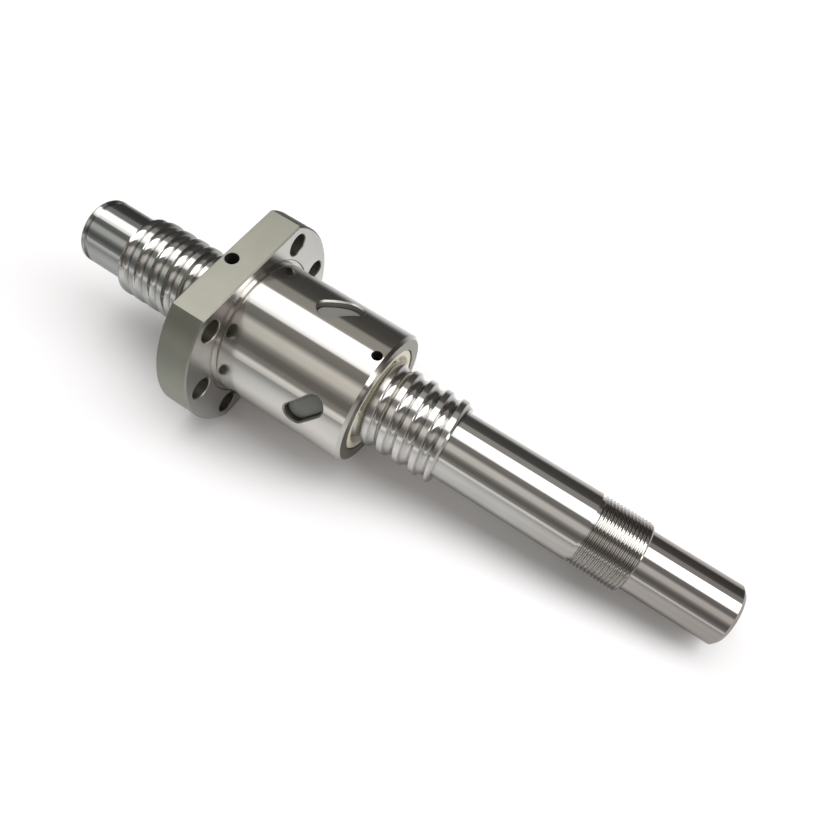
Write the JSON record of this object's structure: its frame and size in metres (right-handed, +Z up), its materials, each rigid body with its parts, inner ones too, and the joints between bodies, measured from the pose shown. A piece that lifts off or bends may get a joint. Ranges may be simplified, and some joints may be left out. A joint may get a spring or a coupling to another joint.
{
  "type": "ball screw",
  "caption": "Right-hand ball screw shaft with machined ends and a flanged nut whose balls return through caps in slanted slots; turning one against the other moves the nut along.",
  "frame": {"origin": "on the shaft axis, in the flange face that seats on the housing", "axes": "+X along the shaft towards the drive end, +Z up, square to the flange's flats"},
  "size_m": [0.203, 0.062, 0.048],
  "materials": {
    "shaft_steel": "ground and polished",
    "nut_steel": "ground barrel and satin flange",
    "cap_plastic": "moulded, dark grey",
    "ball_steel": "polished",
    "wiper_plastic": "moulded, cream",
    "black_steel": "black oxide"
  },
  "bodies": {
    "screw": {"screw_shaft": "shaft_steel"},
    "ball_train": {"ball_circuit_1": "ball_steel", "ball_circuit_2": "ball_steel", "ball_circuit_3": "ball_steel", "ball_circuit_4": "ball_steel"},
    "nut": {"nut_body": "nut_steel", "return_cap_1": "cap_plastic", "return_cap_2": "cap_plastic", "return_cap_3": "cap_plastic", "return_cap_4": "cap_plastic", "wiper_front": "wiper_plastic", "wiper_rear": "wiper_plastic", "wiper_screw_front": "black_steel", "wiper_screw_rear": "black_steel"}
  },
  "joints": [
    {"name": "nut_travel", "type": "slide", "parent": "screw", "child": "ball_train", "axis": [1, 0, 0], "range_m": [-0.03, 0.02], "deforming": ["ball_circuit_1", "ball_circuit_2", "ball_circuit_3", "ball_circuit_4"]},
    {"name": "nut_turn", "type": "hinge", "parent": "ball_train", "child": "nut", "pos_m": [0, 0, 0], "axis": [1, 0, 0], "range_deg": [-2160, 1440]}
  ],
  "couplings": [
    {"joint": "nut_travel", "follows": "nut_turn", "m_per_rad": 0.00079577}
  ]
}
